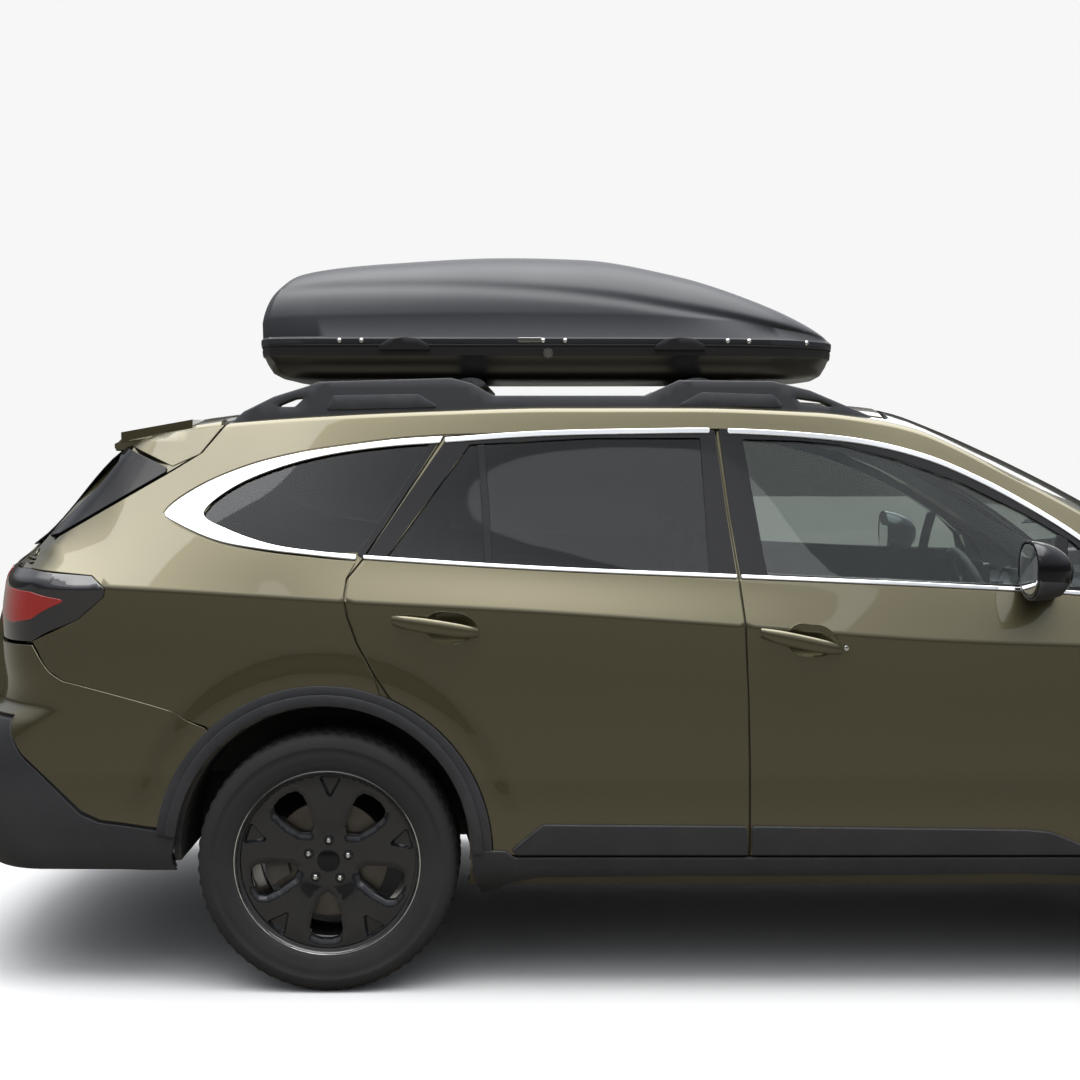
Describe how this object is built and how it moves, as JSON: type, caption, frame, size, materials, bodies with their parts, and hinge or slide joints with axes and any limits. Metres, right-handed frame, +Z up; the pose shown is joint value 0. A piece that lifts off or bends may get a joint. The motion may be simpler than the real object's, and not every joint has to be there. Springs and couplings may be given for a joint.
{
  "type": "suv",
  "caption": "Estate-bodied SUV with opening doors, tailgate and bonnet, steered road wheels, roof rails with cross bars and a hard roof box.",
  "frame": {"origin": "on the ground, in the middle of the car's length and width", "axes": "+X forward, +Y to the car's left, +Z up"},
  "size_m": [4.86, 2.0936, 2.0691],
  "materials": {
    "paint": "olive green metallic under clear coat",
    "cladding": "grained, unpainted",
    "rail_plastic": "fine grained, satin",
    "tinted_glass": "privacy tint",
    "clear_glass": "clear",
    "tail_lamp_lens": "polished smoked red",
    "headlamp_lens": "polished clear",
    "tyre": "moulded rubber",
    "wheel": "gloss black",
    "chassis": "black painted",
    "underbody": "sealed",
    "engine_alloy": "as cast",
    "seat_cloth": "woven",
    "cabin_plastic": "grained",
    "gloss_black": "polished",
    "box_lid": "fine leather grain",
    "box_base": "smooth",
    "bright_trim": "polished",
    "brake_steel": "turned",
    "mirror_glass": "silvered",
    "seal_rubber": "matt"
  },
  "bodies": {
    "body": {"floor_pan": "underbody", "side_frame_right": "paint", "side_frame_left": "paint", "roof_panel": "paint", "fender_right": "paint", "fender_left": "paint", "front_bumper": "cladding", "rear_bumper": "cladding", "headlamp_right": "headlamp_lens", "headlamp_left": "headlamp_lens", "tail_lamp_right": "tail_lamp_lens", "tail_lamp_left": "tail_lamp_lens", "windscreen": "clear_glass", "quarter_glass_right": "tinted_glass", "quarter_glass_left": "tinted_glass", "roof_rack": "rail_plastic", "roof_box_base": "box_base", "engine": "engine_alloy", "dashboard": "cabin_plastic", "front_seat_right": "seat_cloth", "front_seat_left": "seat_cloth", "rear_seat": "seat_cloth", "front_axle": "chassis", "rear_axle": "chassis"},
    "front_door_right": {"front_door_right": "paint", "front_door_glass_right": "clear_glass", "mirror_right": "gloss_black"},
    "front_door_left": {"front_door_left": "paint", "front_door_glass_left": "clear_glass", "mirror_left": "gloss_black"},
    "rear_door_right": {"rear_door_right": "paint", "rear_door_glass_right": "tinted_glass"},
    "rear_door_left": {"rear_door_left": "paint", "rear_door_glass_left": "tinted_glass"},
    "tailgate": {"tailgate": "paint", "tailgate_glass": "tinted_glass"},
    "bonnet": {"bonnet": "paint"},
    "roof_box_lid": {"roof_box_lid": "box_lid"},
    "steering_wheel": {"steering_wheel": "cabin_plastic"},
    "knuckle_right": {"knuckle_right": "chassis"},
    "knuckle_left": {"knuckle_left": "chassis"},
    "wheel_front_right": {"tyre_front_right": "tyre", "rim_front_right": "wheel"},
    "wheel_front_left": {"tyre_front_left": "tyre", "rim_front_left": "wheel"},
    "wheel_rear_right": {"tyre_rear_right": "tyre", "rim_rear_right": "wheel"},
    "wheel_rear_left": {"tyre_rear_left": "tyre", "rim_rear_left": "wheel"}
  },
  "joints": [
    {"name": "front_door_right_hinge", "type": "hinge", "parent": "body", "child": "front_door_right", "pos_m": [0.9415, -0.926, 0.72], "axis": [0, 0, 1], "range_deg": [0, 65]},
    {"name": "front_door_left_hinge", "type": "hinge", "parent": "body", "child": "front_door_left", "pos_m": [0.9415, 0.926, 0.72], "axis": [0, 0, -1], "range_deg": [0, 65]},
    {"name": "rear_door_right_hinge", "type": "hinge", "parent": "body", "child": "rear_door_right", "pos_m": [-0.1405, -0.93, 0.72], "axis": [0, 0, 1], "range_deg": [0, 65]},
    {"name": "rear_door_left_hinge", "type": "hinge", "parent": "body", "child": "rear_door_left", "pos_m": [-0.1405, 0.93, 0.72], "axis": [0, 0, -1], "range_deg": [0, 65]},
    {"name": "tailgate_hinge", "type": "hinge", "parent": "body", "child": "tailgate", "pos_m": [-1.589, 0, 1.588], "axis": [0, 1, 0], "range_deg": [0, 72]},
    {"name": "bonnet_hinge", "type": "hinge", "parent": "body", "child": "bonnet", "pos_m": [1.129, 0, 1.125], "axis": [0, -1, 0], "range_deg": [0, 50]},
    {"name": "roof_box_lid_hinge", "type": "hinge", "parent": "body", "child": "roof_box_lid", "pos_m": [-0.67, 0.4275, 1.7921], "axis": [-1, 0, 0], "range_deg": [0, 40]},
    {"name": "steering_right", "type": "hinge", "parent": "body", "child": "knuckle_right", "pos_m": [1.46, -0.765, 0.3], "axis": [-0.029, 0.2515, 0.9674], "range_deg": [-33, 33]},
    {"name": "steering_left", "type": "hinge", "parent": "body", "child": "knuckle_left", "pos_m": [1.46, 0.765, 0.3], "axis": [-0.029, -0.2515, 0.9674], "range_deg": [-33, 33]},
    {"name": "steering_wheel_turn", "type": "hinge", "parent": "body", "child": "steering_wheel", "pos_m": [0.61, -0.37, 1.01], "axis": [-0.9135, 0, 0.4067], "range_deg": [-450, 450]},
    {"name": "wheel_front_right_spin", "type": "hinge", "parent": "knuckle_right", "child": "wheel_front_right", "pos_m": [1.46, -0.795, 0.358], "axis": [0, 1, 0], "continuous": true},
    {"name": "wheel_front_left_spin", "type": "hinge", "parent": "knuckle_left", "child": "wheel_front_left", "pos_m": [1.46, 0.795, 0.358], "axis": [0, 1, 0], "continuous": true},
    {"name": "wheel_rear_right_spin", "type": "hinge", "parent": "body", "child": "wheel_rear_right", "pos_m": [-1.285, -0.8, 0.358], "axis": [0, 1, 0], "continuous": true},
    {"name": "wheel_rear_left_spin", "type": "hinge", "parent": "body", "child": "wheel_rear_left", "pos_m": [-1.285, 0.8, 0.358], "axis": [0, 1, 0], "continuous": true}
  ],
  "couplings": [
    {"joint": "steering_left", "follows": "steering_right", "ratio": 1},
    {"joint": "steering_wheel_turn", "follows": "steering_right", "ratio": 13.5}
  ]
}
